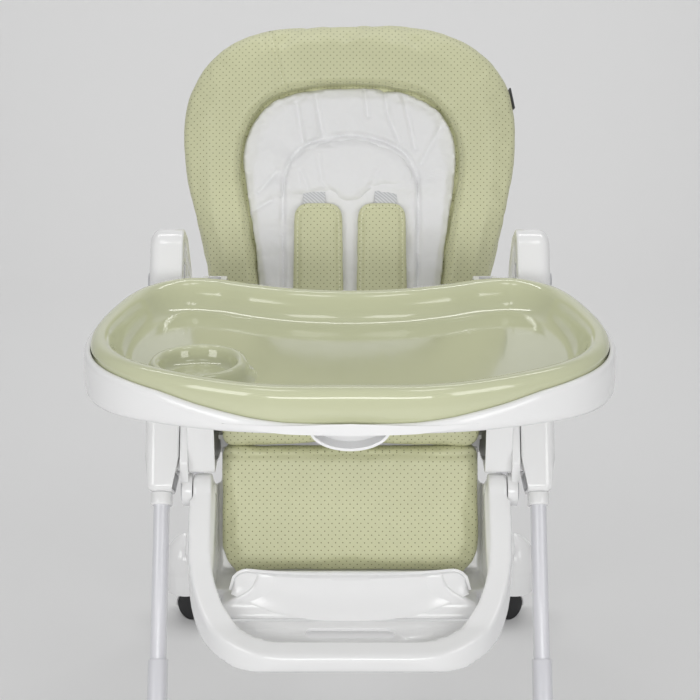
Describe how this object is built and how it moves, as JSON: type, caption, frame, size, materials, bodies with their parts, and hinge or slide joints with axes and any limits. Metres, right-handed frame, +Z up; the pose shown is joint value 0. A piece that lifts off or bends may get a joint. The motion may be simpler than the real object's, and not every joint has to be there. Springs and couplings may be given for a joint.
{
  "type": "baby high chair",
  "caption": "Folding baby high chair with slanted tube legs on twin-wheel casters, padded reclining back, harness, kidney-shaped tray with cup recess and tilting footrest.",
  "frame": {"origin": "on the floor, under the middle of the chair", "axes": "+Z up, -Y towards the front of the tray, +X towards the side of the tray without the cup recess"},
  "size_m": [0.5438, 0.8087, 0.8885],
  "materials": {
    "painted tube": "powder coat, satin white",
    "white plastic": "moulded, glossy",
    "green plastic": "moulded, glossy",
    "grey plastic": "moulded, fine texture",
    "green leatherette": "perforated synthetic leather",
    "white liner": "quilted soft cloth",
    "webbing": "woven tape",
    "wheel black": "satin",
    "zinc steel": "plated"
  },
  "bodies": {
    "front_frame": {"leg_tube_left": "painted tube", "leg_tube_right": "painted tube", "front_base_tube": "painted tube", "leg_collars": "white plastic", "housing_outer_left": "white plastic", "housing_outer_right": "white plastic", "housing_inner_left": "white plastic", "housing_inner_right": "white plastic", "housing_screws": "zinc steel", "fold_pins": "zinc steel", "front_foot_left": "white plastic", "front_foot_right": "white plastic"},
    "rear_frame": {"rear_leg_left": "painted tube", "rear_leg_right": "painted tube", "rear_hub_left": "white plastic", "rear_hub_right": "white plastic", "rear_cross_tube": "painted tube", "rear_foot_left": "white plastic", "rear_foot_right": "white plastic"},
    "seat": {"seat_pan": "white plastic", "seat_side_left": "white plastic", "seat_side_right": "white plastic", "height_slider_left": "white plastic", "height_slider_right": "white plastic", "seat_cushion": "green leatherette", "seat_liner": "white liner", "lap_straps": "webbing", "buckle": "grey plastic", "legrest_pins": "zinc steel", "back_pins": "zinc steel"},
    "backrest": {"backrest_shell": "white plastic", "back_cushion": "green leatherette", "back_liner": "white liner", "shoulder_pad_left": "green leatherette", "shoulder_pad_right": "green leatherette", "shoulder_straps": "webbing"},
    "recline_grip": {"recline_handle": "grey plastic"},
    "legrest": {"legrest_frame": "white plastic", "foot_plate": "white plastic", "calf_pad": "green leatherette"},
    "tray": {"tray_base": "white plastic"},
    "tray_insert": {"tray_top": "green plastic"},
    "tray_release": {"tray_handle": "grey plastic"},
    "buckle_press": {"buckle_button": "grey plastic"},
    "fold_press_left": {"fold_button_left": "grey plastic"},
    "height_press_left": {"height_trigger_left": "grey plastic"},
    "legrest_press_left": {"legrest_button_left": "grey plastic"},
    "fold_press_right": {"fold_button_right": "grey plastic"},
    "height_press_right": {"height_trigger_right": "grey plastic"},
    "legrest_press_right": {"legrest_button_right": "grey plastic"},
    "caster_front_left": {"caster_hood_front_left": "white plastic"},
    "wheels_front_left": {"caster_wheels_front_left": "wheel black"},
    "caster_front_right": {"caster_hood_front_right": "white plastic"},
    "wheels_front_right": {"caster_wheels_front_right": "wheel black"},
    "caster_rear_left": {"caster_hood_rear_left": "white plastic"},
    "wheels_rear_left": {"caster_wheels_rear_left": "wheel black"},
    "brake_left": {"brake_lever_left": "grey plastic"},
    "caster_rear_right": {"caster_hood_rear_right": "white plastic"},
    "wheels_rear_right": {"caster_wheels_rear_right": "wheel black"},
    "brake_right": {"brake_lever_right": "grey plastic"}
  },
  "joints": [
    {"name": "rear_leg_fold", "type": "hinge", "parent": "front_frame", "child": "rear_frame", "pos_m": [0, 0.04002, 0.60005], "axis": [-1, 0, 0], "range_deg": [0, 60]},
    {"name": "seat_height", "type": "slide", "parent": "front_frame", "child": "seat", "axis": [0, 0.5195, 0.8545], "range_m": [0, 0.19]},
    {"name": "backrest_recline", "type": "hinge", "parent": "seat", "child": "backrest", "pos_m": [0, 0.16, 0.45], "axis": [-1, 0, 0], "range_deg": [0, 40]},
    {"name": "recline_pull", "type": "slide", "parent": "backrest", "child": "recline_grip", "axis": [0, 0.342, 0.9397], "range_m": [0, 0.008], "stiffness_N_per_m": 1500, "springref_m": -0.004},
    {"name": "legrest_tilt", "type": "hinge", "parent": "seat", "child": "legrest", "pos_m": [0, -0.126, 0.434], "axis": [-1, 0, 0], "range_deg": [0, 55]},
    {"name": "tray_depth", "type": "slide", "parent": "seat", "child": "tray", "axis": [0, -1, 0], "range_m": [0, 0.09]},
    {"name": "tray_insert_lift", "type": "slide", "parent": "tray", "child": "tray_insert", "axis": [0, 0, 1], "range_m": [0, 0.06]},
    {"name": "tray_release_pull", "type": "slide", "parent": "tray", "child": "tray_release", "axis": [0, -1, 0], "range_m": [0, 0.008], "stiffness_N_per_m": 800, "springref_m": -0.004},
    {"name": "buckle_push", "type": "slide", "parent": "seat", "child": "buckle_press", "axis": [0, 0, -1], "range_m": [0, 0.0025], "stiffness_N_per_m": 800, "springref_m": -0.003},
    {"name": "fold_button_push_left", "type": "slide", "parent": "front_frame", "child": "fold_press_left", "axis": [1, 0, 0], "range_m": [0, 0.0014], "stiffness_N_per_m": 800, "springref_m": -0.002},
    {"name": "height_trigger_push_left", "type": "slide", "parent": "seat", "child": "height_press_left", "axis": [0, -0.8545, 0.5195], "range_m": [0, 0.004], "stiffness_N_per_m": 400, "springref_m": -0.002},
    {"name": "legrest_button_push_left", "type": "slide", "parent": "seat", "child": "legrest_press_left", "axis": [1, 0, 0], "range_m": [0, 0.002], "stiffness_N_per_m": 600, "springref_m": -0.002},
    {"name": "fold_button_push_right", "type": "slide", "parent": "front_frame", "child": "fold_press_right", "axis": [-1, 0, 0], "range_m": [0, 0.0014], "stiffness_N_per_m": 800, "springref_m": -0.002},
    {"name": "height_trigger_push_right", "type": "slide", "parent": "seat", "child": "height_press_right", "axis": [0, -0.8545, 0.5195], "range_m": [0, 0.004], "stiffness_N_per_m": 400, "springref_m": -0.002},
    {"name": "legrest_button_push_right", "type": "slide", "parent": "seat", "child": "legrest_press_right", "axis": [-1, 0, 0], "range_m": [0, 0.002], "stiffness_N_per_m": 600, "springref_m": -0.002},
    {"name": "caster_swivel_front_left", "type": "hinge", "parent": "front_frame", "child": "caster_front_left", "pos_m": [-0.241, -0.37, 0.044], "axis": [0, 0, 1], "continuous": true},
    {"name": "wheel_spin_front_left", "type": "hinge", "parent": "caster_front_left", "child": "wheels_front_left", "pos_m": [-0.241, -0.358, 0.02], "axis": [1, 0, 0], "continuous": true},
    {"name": "caster_swivel_front_right", "type": "hinge", "parent": "front_frame", "child": "caster_front_right", "pos_m": [0.241, -0.37, 0.044], "axis": [0, 0, 1], "continuous": true},
    {"name": "wheel_spin_front_right", "type": "hinge", "parent": "caster_front_right", "child": "wheels_front_right", "pos_m": [0.241, -0.358, 0.02], "axis": [1, 0, 0], "continuous": true},
    {"name": "caster_swivel_rear_left", "type": "hinge", "parent": "rear_frame", "child": "caster_rear_left", "pos_m": [-0.241, 0.37, 0.044], "axis": [0, 0, 1], "continuous": true},
    {"name": "wheel_spin_rear_left", "type": "hinge", "parent": "caster_rear_left", "child": "wheels_rear_left", "pos_m": [-0.23142, 0.36278, 0.02], "axis": [-0.6018, -0.7986, 0], "continuous": true},
    {"name": "brake_press_left", "type": "hinge", "parent": "caster_rear_left", "child": "brake_left", "pos_m": [-0.21305, 0.34894, 0.035], "axis": [0.6018, 0.7986, 0], "range_deg": [0, 14]},
    {"name": "caster_swivel_rear_right", "type": "hinge", "parent": "rear_frame", "child": "caster_rear_right", "pos_m": [0.241, 0.37, 0.044], "axis": [0, 0, 1], "continuous": true},
    {"name": "wheel_spin_rear_right", "type": "hinge", "parent": "caster_rear_right", "child": "wheels_rear_right", "pos_m": [0.23142, 0.36278, 0.02], "axis": [-0.6018, 0.7986, 0], "continuous": true},
    {"name": "brake_press_right", "type": "hinge", "parent": "caster_rear_right", "child": "brake_right", "pos_m": [0.21305, 0.34894, 0.035], "axis": [0.6018, -0.7986, 0], "range_deg": [0, 14]}
  ]
}
